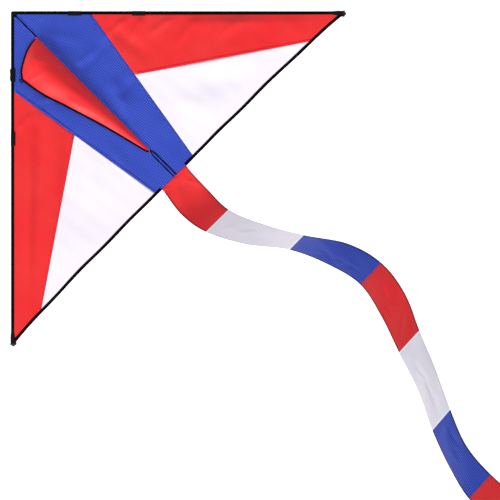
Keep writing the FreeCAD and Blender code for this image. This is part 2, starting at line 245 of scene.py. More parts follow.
# %% Woven tape and webbing
def woven(name, ground, rib, pitch, rough, gloss=0.05):
    """Tape or webbing whose ribs cross it every pitch millimetres."""
    def links(tree):
        place_on = add_node(tree, "TexCoord")
        turned = add_node(tree, "Mapping", {"Vector": place_on.outputs["Object"],
                                            "Rotation": (0, 0, math.radians(45))})
        ribs = add_node(tree, "TexWave", {"Vector": turned.outputs[0], "Distortion": 0.4,
                                          "Scale": WAVE_PERIOD / (pitch * MM)})
        fluff = add_node(tree, "TexNoise", {"Vector": place_on.outputs["Object"], "Scale": 700.0})
        height = add_node(tree, "Math", {0: fluff.outputs["Fac"], 1: 0.5, 2: ribs.outputs["Fac"]},
                          operation="MULTIPLY_ADD")
        colour = blend_colours(tree, ribs.outputs["Fac"], linear(ground), linear(rib))
        bump = add_node(tree, "Bump", {"Height": height.outputs[0], "Strength": 0.4, "Distance": 0.0002})
        return {"Base Color": colour, "Roughness": rough, "Normal": bump.outputs[0],
                "Specular IOR Level": gloss}
    return finish_material(name, links)


def moulded(name, ground, worn, grain, rough, coat=0.0):
    """Plastic, vinyl or fibreglass. grain is the size of its surface marks in millimetres."""
    def links(tree):
        place_on = add_node(tree, "TexCoord")
        marks = add_node(tree, "TexNoise", {"Vector": place_on.outputs["Object"], "Scale": 1 / (grain * MM),
                                            "Detail": 3.0})
        colour = blend_colours(tree, marks.outputs["Fac"], linear(ground), linear(worn))
        bump = add_node(tree, "Bump", {"Height": marks.outputs["Fac"], "Strength": 0.25, "Distance": 0.00008})
        return {"Base Color": colour, "Roughness": rough, "Normal": bump.outputs[0], "Coat Weight": coat,
                "Specular IOR Level": 0.25}
    return finish_material(name, links)


edge_tape = woven("woven_polyester_binding_tape", "#020203", "#09090B", 0.9, 0.8)
webbing = woven("polypropylene_webbing", "#040405", "#0E0E10", 1.8, 0.7, gloss=0.12)
hook_plastic = moulded("moulded_nylon", "#08080A", "#0E0E10", 0.35, 0.5)
cap_vinyl = moulded("dip_moulded_vinyl", "#0D0D0E", "#171718", 1.2, 0.55)
rod_glass = moulded("pultruded_fibreglass", "#2A2A2C", "#3A3A3D", 0.6, 0.32, coat=0.2)
print("five more finishes")

# %% The designed pieces take their finishes
FINISH_OF_SLOT = {"fibreglass": rod_glass, "vinyl": cap_vinyl, "moulded_plastic": hook_plastic,
                  "edging_tape": edge_tape, "webbing": webbing, "ripstop_blue": blue_cloth,
                  "ripstop_red": red_cloth, "ripstop_white": white_cloth}
slot_of_node = {entry["node"]: entry["material_slot"] for entry in frame["record"]["subparts"]}
for node_name, node in frame["nodes"].items():
    for place_in_list in node.material_slots:
        place_in_list.material = FINISH_OF_SLOT[slot_of_node[node_name]]
print(len(frame["nodes"]), "designed pieces")

# %% [markdown]
# ## Cloth as rows of points
# A sewn panel is a sheet with a shape of its own, so it is made as rows of points between two of its
# edges, and pushed up or down by one function for the whole sail. Neighbouring panels then meet along
# their seams. A cloth simulation could make folds too, but it wouldn't put them where the spreader and
# the patches pull them. Each sheet gets a thickness, and keeps its flat place as its UV map.

# %% A sheet from rows of points
CLOTH_T = 0.3


def sheet_mesh(name, rows, flat, thickness=CLOTH_T, finish=None, closed=False):
    """A sheet from rows of (x, s, z) places. flat gives the same rows' places in the flat cloth."""
    rows, flat = np.array(rows, float), np.array(flat, float)
    count, width = rows.shape[:2]
    points = [place(*p) for p in rows.reshape(-1, 3)]
    across = width if closed else width - 1
    faces = [(r * width + c, r * width + (c + 1) % width, (r + 1) * width + (c + 1) % width,
              (r + 1) * width + c) for r in range(count - 1) for c in range(across)]
    mesh = bpy.data.meshes.new(name)
    mesh.from_pydata(points, [], faces)
    uv = mesh.uv_layers.new(name="flat")
    flat_at = flat.reshape(-1, 2) * MM
    for loop in mesh.loops:
        uv.data[loop.index].uv = flat_at[loop.vertex_index]
    mesh.polygons.foreach_set("use_smooth", [True] * len(mesh.polygons))
    made = bpy.data.objects.new(name, mesh)
    bpy.context.scene.collection.objects.link(made)
    mesh.materials.append(finish)
    bpy.ops.object.select_all(action="DESELECT")
    bpy.context.view_layer.objects.active = made
    made.select_set(True)
    bpy.ops.object.mode_set(mode="EDIT")
    bpy.ops.mesh.select_all(action="SELECT")
    bpy.ops.mesh.remove_doubles(threshold=0.00002)
    bpy.ops.mesh.normals_make_consistent(inside=False)
    bpy.ops.object.mode_set(mode="OBJECT")
    if thickness:
        wall = made.modifiers.new("thickness", "SOLIDIFY")
        wall.thickness, wall.offset = thickness * MM, 0.0
        bpy.ops.object.modifier_apply(modifier=wall.name)
    return made


def smooth_step(value, low, high):
    """0 up to low, 1 from high on, and an easy curve between."""
    share = np.clip((value - low) / (high - low), 0, 1)
    return share * share * (3 - 2 * share)


print("cloth drawn", CLOTH_T, "mm thick")

# %% [markdown]
# ## The lie of the sail
# The sail is held by the rods at its edges and by the spine, so it lies flat there and only moves in
# between. A spreader crosses behind it and lifts a crease, the patches pull short folds into the red
# panels, and each panel has a slow swell. Every fold is a low ridge along a line, fading at its ends.

# %% Folds and swells of the sail
FOLDS = [
    # (start x, start s, end x, end s, half width, height)
    (20, 217, 92, 222, 9, 2.6), (128, 216, 206, 221, 7, 2.4),
    (226, 246, 160, 268, 8, 2.2), (282, 300, 205, 292, 9, 2.0), (322, 348, 236, 358, 10, 2.0),
    (410, 432, 330, 420, 12, 1.6), (60, 300, 30, 400, 16, 2.0), (40, 350, 96, 342, 13, -2.4),
    (150, 205, 170, 330, 16, -1.6), (300, 345, 470, 500, 24, 1.5), (210, 480, 330, 555, 26, -0.8),
    (200, 420, 300, 470, 22, 0.8), (130, 450, 190, 540, 22, 0.7),
    (-62, 205, -128, 232, 10, -2.2), (-40, 240, -120, 214, 8, 1.8),
    (-150, 222, -205, 226, 8, 1.6), (-150, 262, -455, 540, 15, -1.8), (-190, 262, -480, 545, 11, 1.5),
    (-130, 300, -300, 455, 16, 1.6), (-200, 420, -330, 520, 28, -0.6), (-110, 400, -200, 500, 20, 0.5),
    (-60, 420, -80, 540, 14, 0.8), (14, 236, 120, 228, 15, -2.2), (24, 110, 70, 176, 14, 1.4),
]
SWELLS = [(-330, 470, 90, 2.0), (330, 460, 90, 2.6), (-220, 520, 60, -1.2), (180, 520, 60, 1.8),
          (60, 480, 40, 1.2), (-60, 330, 40, 1.0), (480, 540, 50, 1.5)]


print(len(FOLDS), "folds and", len(SWELLS), "swells")

# %% Height of the sail at a place
def fold_height(x, s, folds):
    """How high a set of folds stands at a place. A fold is a ridge, or a valley if its height is negative."""
    x, s = np.asarray(x, float), np.asarray(s, float)
    lift = np.zeros(np.broadcast(x, s).shape)
    for x0, s0, x1, s1, half_width, height in folds:
        run = np.array([x1 - x0, s1 - s0], float)
        length = np.hypot(*run)
        run /= length
        along = (x - x0) * run[0] + (s - s0) * run[1]
        off = (x - x0) * -run[1] + (s - s0) * run[0]
        fade_in = smooth_step(along, -0.15 * length, 0.25 * length)
        fade_out = smooth_step(-along, -1.2 * length, -0.6 * length)
        lift += height * (fade_in * fade_out) * np.exp(-(off / half_width) ** 2)
    return lift


def sail_lift(x, s):
    """How far the sail stands above its flat place, in millimetres."""
    lift = fold_height(x, s, FOLDS)
    for x0, s0, reach, height in SWELLS:
        lift += height * np.exp(-((x - x0) ** 2 + (s - s0) ** 2) / reach ** 2)
    lift += 0.16 * np.sin(0.11 * x + 0.05 * s) * np.sin(0.07 * s - 0.03 * x)
    to_edge = (s - np.abs(x)) / math.sqrt(2)
    held = smooth_step(to_edge, 6, 30) * smooth_step(np.abs(x), 3, 26)
    behind = trailing_s(x) - s
    return 2.0 * lift * held * (0.35 + 0.65 * smooth_step(behind, 0, 40))


def trailing_s(x):
    """The trailing edge bows back a little towards the tips, and is never quite straight."""
    out = np.abs(x)
    return TRAILING_S + 12.0 * (out / 603.0) ** 4 + 0.8 * np.sin(out / 31.0) * smooth_step(out, 80, 160)


print("the tips sweep back", round(float(trailing_s(603.0)) - TRAILING_S, 1), "mm")

# %% [markdown]
# ## The six sail panels
# Each wing is sewn from three panels. A panel is filled between two of its edges: the blue one between
# the spine and its outer seam, the red one between the leading edge and its inner seams, and the white
# one between its two seams and the trailing edge.

# %% Outlines of one wing's panels
EDGE_IN = 8.77           # s at which the cloth starts under the hem, on the spine
BLUE_CORNER = (139.6, 148.4)
BLUE_TAIL = (67.0, TRAILING_S)
THREE_WAY = (108.72, 337.5)
STRIPE_TAIL = (492.0, float(trailing_s(492.0)))
TIP = (587.0, 597.5)


def line(start, end, count):
    """Evenly spaced places from start to end."""
    share = np.linspace(0, 1, count)[:, None]
    return np.array(start) + share * (np.array(end) - np.array(start))


def chain(*runs):
    """Several lines as one, without their shared ends."""
    return np.concatenate([runs[0]] + [run[1:] for run in runs[1:]])


def trailing_line(x0, x1, count):
    xs = np.linspace(x0, x1, count)
    return np.stack([xs, trailing_s(xs)], axis=1)


PANEL_EDGES = {
    "blue": (chain(line((0, EDGE_IN + 1), (0, BLUE_CORNER[1]), 24),
                   line((0, BLUE_CORNER[1]), (0, TRAILING_S), 72)),
             chain(line((1, EDGE_IN + 1), BLUE_CORNER, 24), line(BLUE_CORNER, BLUE_TAIL, 72)), 26),
    "red": (line(BLUE_CORNER, TIP, 110),
            chain(line(BLUE_CORNER, THREE_WAY, 30), line(THREE_WAY, STRIPE_TAIL, 66),
                  trailing_line(STRIPE_TAIL[0], TIP[0], 16)), 30),
    "white": (line(THREE_WAY, STRIPE_TAIL, 90),
              chain(line(THREE_WAY, BLUE_TAIL, 40), trailing_line(BLUE_TAIL[0], STRIPE_TAIL[0], 51)), 42),
}
CLOTH_OF = {"blue": blue_cloth, "red": red_cloth, "white": white_cloth}
HEM_SHADE_OF = {"blue": blue_hem_shade, "red": red_hem_shade, "white": white_hem_shade}


print("blue meets red and white", THREE_WAY, "from the nose")


# %% The panels, both wings
def sail_panel(side, colour):
    """One panel. side is 1 for the right wing and -1 for the left."""
    first, second, across = PANEL_EDGES[colour]
    share = np.linspace(0, 1, across)[None, :, None]
    plan = first[:, None] * (1 - share) + second[:, None] * share
    x, s = plan[..., 0] * side, plan[..., 1]
    rows = np.stack([x, s, SAIL_Z + sail_lift(x, s)], axis=-1)
    name = f"{name_of_side[side]}_{colour}_panel"
    made = sheet_mesh(name + "_cloth", rows, np.stack([x, -s], axis=-1), finish=CLOTH_OF[colour])
    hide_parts(name)
    if side > 0 and colour == "blue":
        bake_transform(made)
    else:
        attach(made, body_of_side[side])
    return made


for side in (1, -1):
    for colour in CLOTH_OF:
        sail_panel(side, colour)

# %% [markdown]
# ## Seams
# Two panels are joined by a lapped seam: their edges overlap by a few millimetres and two rows of
# stitching run through them. The lap is a narrow strip of the darker cloth lying on the sail, and each
# stitch row is a thin thread pressed into it.

# %% A strip that lies on the sail, and its thread
thread_blue = woven("polyester_thread_blue", "#1B2C84", "#2A3D9C", 1.2, 0.5)
thread_red = woven("polyester_thread_red", "#B01218", "#C8202A", 1.2, 0.5)
thread_black = woven("polyester_thread_black", "#050506", "#101012", 1.2, 0.5)


def beside(path, offset):
    """A path moved sideways by offset, to the left of its direction."""
    path = np.asarray(path, float)
    ahead = np.gradient(path, axis=0)
    ahead /= np.linalg.norm(ahead, axis=1)[:, None]
    return path + offset * np.stack([-ahead[:, 1], ahead[:, 0]], axis=1)


def strip_on_sail(name, path, offsets, heights, finish, side=1, thickness=0.3):
    """A long strip along a path of (x, s) places. offsets and heights give its cross-section."""
    rows = []
    for offset, height in zip(offsets, heights):
        edge = beside(path, offset)
        x, s = edge[:, 0] * side, edge[:, 1]
        rows.append(np.stack([x, s, SAIL_Z + sail_lift(x, s) + height], axis=-1))
    rows = np.stack(rows, axis=1)
    along = np.concatenate([[0], np.cumsum(np.linalg.norm(np.diff(path, axis=0), axis=1))])
    flat = np.stack(np.broadcast_arrays(along[:, None], np.array(offsets)[None, :]), axis=-1)
    return sheet_mesh(name, rows, flat, thickness, finish)


print("strips follow the sail's folds")


# %% Joining meshes, and rows of stitches
def joined(name, parts):
    """Several meshes as one piece, under a name."""
    bpy.ops.object.select_all(action="DESELECT")
    for part in parts:
        part.select_set(True)
    bpy.context.view_layer.objects.active = parts[0]
    bpy.ops.object.join()
    parts[0].name = name
    return parts[0]


def stitch_row(name, path, offset, height, finish, side=1, long=2.6, pitch=3.4):
    """Rows of short flat stitches. Each stitch is a small four-sided dash, as long as a real one."""
    edge = beside(path, offset)
    along = np.concatenate([[0], np.cumsum(np.linalg.norm(np.diff(edge, axis=0), axis=1))])
    starts = np.arange(2.0, along[-1] - 3.0, pitch)
    ends = starts + long
    points, faces = [], []
    for a, b in zip(starts, ends):
        p = [np.interp(q, along, edge[:, 0]) for q in (a, b)]
        r = [np.interp(q, along, edge[:, 1]) for q in (a, b)]
        run = np.array([p[1] - p[0], r[1] - r[0]])
        run /= np.linalg.norm(run)
        half = np.array([-run[1], run[0]]) * 0.28
        first = len(points)
        for end in (0, 1):
            for way in (-1, 1):
                x, s = (p[end] + way * half[0]) * side, r[end] + way * half[1]
                z = SAIL_Z + float(sail_lift(x, s)) + height
                points += [place(x, s, z), place(x, s, z + 0.25)]
        quad = [(0, 1, 3, 2), (4, 6, 7, 5), (0, 4, 5, 1), (2, 3, 7, 6), (1, 5, 7, 3), (0, 2, 6, 4)]
        faces += [tuple(first + i for i in f) for f in quad]
    mesh = bpy.data.meshes.new(name)
    mesh.from_pydata(points, [], faces)
    made = bpy.data.objects.new(name, mesh)
    bpy.context.scene.collection.objects.link(made)
    mesh.materials.append(finish)
    return made


print("stitches are short dashes, as a machine sews them")

# %% The laps between the panels
LAP = 6.5
for side in (1, -1):
    wing = name_of_side[side]
    blue_seam = line(BLUE_CORNER, BLUE_TAIL, 90)[1:-1]
    stripe_seam = line(THREE_WAY, STRIPE_TAIL, 80)[1:-1]
    for title, path, cloth, thread, slot_name in (
            ("blue_seam", blue_seam, blue_cloth, thread_blue, "ripstop_blue"),
            ("stripe_seam", stripe_seam, red_cloth, thread_red, "ripstop_red")):
        inward = 1 if title == "blue_seam" else -1
        lap = strip_on_sail(f"{wing}_{title}_lap", path, np.array([0.0, 0.4, LAP - 0.4, LAP]) * inward,
                            [0.2, 0.5, 0.5, 0.2], cloth, side)
        rows = [stitch_row(f"{wing}_{title}_stitch_{i}", path, inward * off, 0.62, thread, side)
                for i, off in enumerate((1.3, LAP - 1.3))]
        made = joined(f"{wing}_{title}", [lap] + rows)
        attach(made, body_of_side[side])
print("four lapped seams")

# %% [markdown]
# ## Spine
# The spine rod slides into a pocket sewn behind the sail. In front, a low ridge of blue cloth covers the
# seam. A dark line of tape runs along it from the nose to the keel, which is sewn into the seam. Behind
# the keel, two dark strips of the same tape are painted shade along the folds of the spine pocket.

# %% Spine seam
KEEL_SPAN = (92.0, 503.0)    # where the keel is sewn to the spine
spine_path = line((0, 14), (0, TRAILING_S - 0.4), 150)
ridge = strip_on_sail("spine_ridge", spine_path, [-5.8, -5.0, -3.0, 0, 3.0, 5.0, 5.8],
                      [0.3, 0.3, 0.6, 0.9, 0.6, 0.3, 0.3], blue_cloth)
LINE_WIDTH = np.array([-1.7, 0, 1.7])
spine_lines = [strip_on_sail("spine_front_line", line((0, 15), (0, KEEL_SPAN[0]), 40),
                             LINE_WIDTH, [0.8, 1.4, 0.8], edge_tape)]
for out in (-3.9, 3.9):      # behind the keel, two dark strips of painted shade
    split = (out, KEEL_SPAN[1] + 11)
    rear_shade_line = chain(line((0, KEEL_SPAN[1] - 3), split, 10), line(split, (out, TRAILING_S - 1), 44))
    spine_lines.append(strip_on_sail("spine_rear_line", rear_shade_line, LINE_WIDTH, [0.8, 1.2, 0.8], edge_tape))
spine_seam_and_shade = joined("spine_seam_and_shade", [ridge] + spine_lines)
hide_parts("spine_tape")
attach(spine_seam_and_shade, ROOT)
print("spine seam", round(spine_path[-1, 1] - spine_path[0, 1]), "mm long")

# %% [markdown]
# ## Keel
# The keel is a soft fin sewn along the spine. With no wind in it, it arches over the left wing: it rises
# from the seam, bends over, and its free edge comes down again. It is filled between the seam and its
# free edge, with a height that follows a smooth arch.

# %% A smooth edge for the keel
KEEL_FRONT, KEEL_REAR, APEX = (0.0, 92.0), (2.0, 503.0), (104.5, 145.0)


def curve_through(corners, count):
    """A smooth curve through a few points, spaced evenly by their chords."""
    corners = np.asarray(corners, float)
    knots = np.concatenate([[0], np.cumsum(np.linalg.norm(np.diff(corners, axis=0), axis=1))])
    padded = np.concatenate([[2 * corners[0] - corners[1]], corners, [2 * corners[-1] - corners[-2]]])
    found = []
    for q in np.linspace(0, knots[-1], count):
        i = int(np.clip(np.searchsorted(knots, q) - 1, 0, len(corners) - 2))
        t = (q - knots[i]) / (knots[i + 1] - knots[i])
        a, b, c, d = padded[i:i + 4]
        found.append(0.5 * ((2 * b) + (c - a) * t + (2 * a - 5 * b + 4 * c - d) * t ** 2
                            + (3 * b - a - 3 * c + d) * t ** 3))
    return np.array(found)


print("keel sewn on from", KEEL_SPAN[0], "to", KEEL_SPAN[1])

# %% Keel outline and its cloth
keel_front_edge = curve_through([KEEL_FRONT, (37, 98), (69, 113), (90, 127), APEX], 34)
keel_rear_edge = curve_through([APEX, (99, 184), (91, 219), (75, 267), (47, 356), (30, 417), (10.5, 492),
                                KEEL_REAR], 96)
keel_root = chain(line((0, KEEL_SPAN[0]), (0, APEX[1]), 34), line((0, APEX[1]), (0, KEEL_SPAN[1]), 96))
keel_edge = chain(keel_front_edge, keel_rear_edge)


KEEL_FOLDS = [(34, 126, 4, 176, 5, -2.4), (44, 128, 12, 186, 4, 1.8), (98, 142, 48, 122, 5, 1.8),
              (96, 150, 40, 146, 6, -1.6), (92, 160, 40, 176, 6, 1.4), (30, 220, 8, 300, 6, -1.4),
              (60, 250, 20, 380, 8, 1.2)]


def keel_height(across, reach, s):
    """Height above the seam of a point that far across the keel, whose free edge reaches that far out."""
    share = across / np.maximum(reach, 1.0)
    near = np.minimum(share, 0.46)
    rise = 1.39 * reach * (near - near * near / 0.92)
    past = smooth_step(share, 0.46, 1.05)
    ripple = 1.2 * np.sin(s / 15.0 + share * 2) * smooth_step(share, 0.35, 1.0) * smooth_step(reach, 20, 70)
    loose = smooth_step(share, 0.03, 0.25) * smooth_step(-share, -1.0, -0.9)
    creases = fold_height(across, s, KEEL_FOLDS) * loose
    return rise - 0.17 * reach * past + ripple + creases


keel_share = np.linspace(0, 1, 34)[None, :, None]
keel_plan = keel_root[:, None] * (1 - keel_share) + keel_edge[:, None] * keel_share
keel_reach = keel_edge[:, None, 0] + 0 * keel_plan[..., 0]
keel_z = keel_height(keel_plan[..., 0], keel_reach, keel_plan[..., 1]) + SAIL_Z
keel_rows = np.stack([-keel_plan[..., 0], keel_plan[..., 1], keel_z], axis=-1)
keel = sheet_mesh("keel_cloth", keel_rows, np.stack([-keel_plan[..., 0] * 1.09, -keel_plan[..., 1]], axis=-1),
                  finish=red_cloth)
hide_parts("keel_panel")
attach(keel, "keel")
print("keel stands", round(float(keel_z.max() - SAIL_Z), 1), "mm above the sail")

# %% [markdown]
# ## Bound edges
# Binding is a tape folded over an edge and stitched through. It is a flat loop of points carried along
# the edge, so it has an upper and a lower side and a soft fold outside.


# %% A tape folded over an edge
def close_ends():
    """Fills the open ends of the tube just made, and turns its faces outwards."""
    bpy.ops.object.mode_set(mode="EDIT")
    bpy.ops.mesh.select_all(action="DESELECT")
    bpy.ops.mesh.select_non_manifold()
    bpy.ops.mesh.fill_holes(sides=0)
    bpy.ops.mesh.select_all(action="SELECT")
    bpy.ops.mesh.normals_make_consistent(inside=False)
    bpy.ops.object.mode_set(mode="OBJECT")


def loop_along(name, path, loop, finish, body, across):
    """A ring of (across, up) offsets carried along a path of (x, s, z) places. across points inwards."""
    path = np.asarray(path, float)
    ahead = np.gradient(path, axis=0)
    ahead /= np.linalg.norm(ahead, axis=1)[:, None]
    across = across / np.linalg.norm(across, axis=1)[:, None]
    up = np.cross(across, ahead)
    up *= np.where(up[:, 2:3] < 0, -1, 1)
    loops = np.asarray(loop, float)
    if loops.ndim == 2:
        loops = np.repeat(loops[None], len(path), axis=0)
    rows = path[:, None] + loops[..., 0:1] * across[:, None] + loops[..., 1:2] * up[:, None]
    along = np.concatenate([[0], np.cumsum(np.linalg.norm(np.diff(path, axis=0), axis=1))])
    flat = np.stack(np.broadcast_arrays(along[:, None], np.arange(loops.shape[1])[None] * 1.5), axis=-1)
    made = sheet_mesh(name, rows, flat, 0, finish, closed=True)
    close_ends()
    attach(made, body)
    return made


def folded_tape(width, thick):
    """Cross-section of a folded tape: 0 is the fold outside, width is its stitched edge."""
    half = thick / 2
    return [(0, 0), (0.35, half * 0.8), (1.2, half), (width * 0.7, half), (width, half * 0.55),
            (width, -half * 0.55), (width * 0.7, -half), (1.2, -half), (0.35, -half * 0.8)]


print("a folded tape has", len(folded_tape(5.0, 2.2)), "points round it")

# %% Keel binding
def keel_binding(name, first, last, node):
    edge = keel_rows[first:last, -1]
    inner = keel_rows[first:last, -4]
    ahead = np.gradient(edge, axis=0)
    ahead /= np.linalg.norm(ahead, axis=1)[:, None]
    edge_in = inner - edge
    edge_in -= (edge_in * ahead).sum(axis=1)[:, None] * ahead
    made = loop_along(name, edge - 0.4 * edge_in / np.linalg.norm(edge_in, axis=1)[:, None],
                      folded_tape(5.0, 2.2), edge_tape, "keel", across=edge_in)
    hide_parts(node)
    return made


keel_binding("keel_front_binding_tape", 2, 35, "keel_front_binding")
keel_binding("keel_rear_binding_tape", 32, len(keel_rows) - 1, "keel_rear_binding")
print("keel bound along", round(float(np.linalg.norm(np.diff(keel_rows[:, -1], axis=0), axis=1).sum())), "mm")

# %% Trailing-edge binding
HEADER = (-49.0, 37.0)   # where the tail is sewn on
BINDING_TO = 588         # the tape stops short of the tip pocket's end
EDGE_STITCH = {"long": 2.8, "pitch": 3.9}
for side, inner_x in ((1, HEADER[1] + 0.6), (-1, -HEADER[0] + 0.2)):
    xs = np.linspace(inner_x, BINDING_TO, 110)
    flutter = 0.7 * np.sin(xs / 23.0 + side) * smooth_step(xs, 80, 160) * smooth_step(-xs, -567, -507)
    lift = sail_lift(xs * side, trailing_s(xs))
    rows = np.stack([xs * side, trailing_s(xs) + 0.4, SAIL_Z + lift + flutter * 0.6], axis=1)
    inward = np.tile([0.0, -1.0, 0.0], (len(xs), 1))
    wing = name_of_side[side]
    tape = loop_along(f"{wing}_trailing_tape", rows, folded_tape(8.0, 2.3), edge_tape, body_of_side[side],
                      across=inward)
    sewn = np.stack([xs[4:-8], trailing_s(xs[4:-8])], axis=1)
    thread = stitch_row(f"{wing}_trailing_stitches", sewn, -6.2, 1.05, webbing, side, **EDGE_STITCH)
    tape = joined(f"{wing}_trailing_tape", [tape, thread])
    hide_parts(f"{wing}_trailing_binding")
print("trailing edge bound")

# %% [markdown]
# ## Hems along the leading edges
# Each leading-edge rod runs in a hem: tape folded round the rod and stitched to the sail. Its
# cross-section is a teardrop, round over the rod and flat where it holds the cloth. Where the spreader
# hooks on, the hem is open underneath, so there the same ring is pressed flat above the rod.

# %% Leading-edge hem
HALF = math.sqrt(0.5)
HEM_RING = [(8.3, 13.0), (6.9, 13.05), (5.4, 12.9), (3.8, 12.75), (2.2, 12.4), (0.9, 11.5), (0.1, 10.2),
            (-0.1, 8.8), (0.1, 7.4), (0.9, 6.1), (2.2, 5.2), (3.8, 4.9), (5.4, 5.3), (6.6, 6.4), (7.2, 8.4),
            (7.5, 10.6), (8.3, 11.3)]
HEM_START, HEM_END = 6.5, 822.0
WINDOW = (312.0, 338.0)


def edge_place(t, inward, side):
    """A place t along the leading edge and so far in from its outline."""
    return (t - inward) * HALF * side, (t + inward) * HALF


def leading_hem(side):
    wing = name_of_side[side]
    ts = np.unique(np.concatenate([np.arange(HEM_START, HEM_END, 7.0), np.array(WINDOW),
                                   np.array(WINDOW) + (-1.2, 1.2), [HEM_END]]))
    rows, flat = [], []
    for t in ts:
        open_below = WINDOW[0] <= t <= WINDOW[1]
        pucker = 0.16 * math.sin(t * 0.9) + 0.14 * math.sin(t * 0.37 + side)
        row = []
        for i, (inward, z) in enumerate(HEM_RING):
            if open_below:
                z = max(z, 11.15 + 0.02 * i)
            elif z > 11:
                z += pucker * 0.6
            else:
                inward += pucker * (0.7 if inward < 4 else -0.5)
            if t < 26:                      # the hem narrows where it turns in under the nose webbing
                inward = 3.8 + (inward - 3.8) * (0.82 + 0.18 * (t - HEM_START) / (26 - HEM_START))
            x, s = edge_place(t, inward, side)
            row.append((x, s, z))
        rows.append(row)
        flat.append([(t, i * 1.7) for i in range(len(row))])
    hem = sheet_mesh(f"{wing}_leading_hem_tube", rows, flat, 0, edge_tape, closed=True)
    close_ends()
    stitch_line = np.array([edge_place(t, 7.6, 1) for t in np.linspace(24, 810, 200)])
    thread = stitch_row(f"{wing}_hem_stitches", stitch_line, 0, 0.95, webbing, side, **EDGE_STITCH)
    made = joined(f"{wing}_leading_hem", [hem, thread])
    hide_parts(f"{wing}_leading_sleeve")
    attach(made, body_of_side[side])
    return made


for side in (1, -1):
    leading_hem(side)
print("hems", round(HEM_END - HEM_START), "mm long")

# %% [markdown]
# ## Webbing patches
# Four short pieces of webbing are folded over the hem: one pair near the nose, and one pair where the
# spreader hooks on and the hem is cut. Each wraps over the top, down the outside, and in over the sail.

# %% Patches on the leading edges
PATCH_RING = [(11.4, 12.8), (11.2, 13.7), (8.3, 14.1), (5.4, 13.9), (3.6, 13.7), (1.8, 13.2), (0.3, 12.1),
              (-0.5, 10.4), (-0.6, 8.8), (-0.5, 7.6), (-0.2, 7.2), (0.0, 8.8), (0.4, 10.4), (1.2, 11.6),
              (2.6, 12.6), (5.4, 13.1), (8.3, 13.2)]
PATCH_HALF = 17.0        # half the patch's length along the edge
PATCH_PLACES = {"front": 162.0, "rear": 325.0}
LOOSE_PATCH = ("left", "front", 2.0)     # the one that stands out past the edge, and by how much


def webbing_patch(name, side, middle, outward, node):
    """outward pushes the patch out beyond the edge, as the loosely sewn one does."""
    ts = np.linspace(middle - PATCH_HALF, middle + PATCH_HALF, 22)
    rows = []
    for t in ts:
        near_end = 1 - smooth_step(abs(t - middle), 12.5, PATCH_HALF)
        bulge = outward * near_end * (1 - 0.25 * math.cos(t * 0.35))
        rows.append([edge_place(t, a - bulge * (a < 4) - 0.2 * math.sin(t + i), side) + (z,)
                     for i, (a, z) in enumerate(PATCH_RING)])
    flat = [[(t, i * 1.4) for i in range(len(PATCH_RING))] for t in ts]
    made = sheet_mesh(name, rows, flat, 0, webbing, closed=True)
    close_ends()
    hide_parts(node)
    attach(made, body_of_side[side])
    return made


for side in (1, -1):
    wing = name_of_side[side]
    for end, middle in PATCH_PLACES.items():
        outward = LOOSE_PATCH[2] if (wing, end) == LOOSE_PATCH[:2] else 0.0
        webbing_patch(f"{wing}_{end}_webbing", side, middle, outward, f"{wing}_{end}_patch")
print("four patches")

# %% [markdown]
# ## Wing tips and nose
# Each rod ends in a stiff pocket of folded webbing, closed by a moulded stop with three rounded lobes.
# At the nose a square of webbing is folded over both hems. The webbing starts as a cube, cut fine in
# edit mode, whose points are then moved out to the fold. The stop starts as four balls, melted into one.


# %% A box worked into a shape
def start_shape():
    """Deselects everything, so that edits act only on the shape added next."""
    bpy.ops.object.select_all(action="DESELECT")


def solid_piece(name, finish, body, node):
    """The active shape as a finished piece in place of its node. With no body, it is left unattached."""
    made = bpy.context.object
    made.name = name
    made.data.name = name
    made.data.materials.clear()
    made.data.materials.append(finish)
    bpy.ops.object.transform_apply(location=True, rotation=True, scale=True)
    bpy.ops.object.mode_set(mode="EDIT")
    bpy.ops.mesh.select_all(action="SELECT")
    bpy.ops.mesh.normals_make_consistent(inside=False)
    bpy.ops.object.mode_set(mode="OBJECT")
    bpy.ops.object.shade_smooth_by_angle(angle=math.radians(50))
    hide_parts(node)
    if body:
        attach(made, body)
    return made


print("solid pieces are finished in one way")

# %% The pocket and the stop of a wing tip
POCKET_FROM, POCKET_LONG = 808.0, 37.0
TIP_LOBES = ((847.0, 0.9, 7.4, 3.3), (849.4, 5.8, 5.6, 4.2), (846.6, 11.0, 7.0, 3.4),
             (844.6, 5.6, 8.6, 4.6))     # along the edge, in from it, height, radius
MELT_GRAIN = 0.45


def tip_pocket(side):
    """A wedge of folded webbing, wider and thicker towards the tip, with a stitched fold across it."""
    wing = name_of_side[side]
    start_shape()
    bpy.ops.mesh.primitive_cube_add(size=1.0)
    shape = bpy.context.object
    bpy.ops.object.mode_set(mode="EDIT")
    bpy.ops.mesh.subdivide(number_cuts=9)
    bpy.ops.object.mode_set(mode="OBJECT")
    for vertex in shape.data.vertices:
        along, across, up = vertex.co.x + 0.5, vertex.co.y, vertex.co.z
        t = POCKET_FROM + along * POCKET_LONG
        width = 8.6 + 6.0 * smooth_step(along, 0.0, 0.75)
        depth = 8.3 + 1.2 * along - 1.0 * smooth_step(along, 0.86, 1.0)
        fold = 0.5 * math.sin(along * 21 + across * 3)
        round_off = 1 - 0.28 * (2 * abs(across)) ** 3
        inward = 4.6 + 1.9 * along + across * width * (1 - 0.22 * (2 * abs(up)) ** 3) + 0.25 * fold
        z = 9.0 + up * depth * round_off + 0.35 * fold * (abs(up) > 0.35)
        x, s = edge_place(t, inward, side)
        vertex.co = place(x, s, z)
    return solid_piece(f"{wing}_tip_webbing", webbing, body_of_side[side], f"{wing}_tip_pocket")


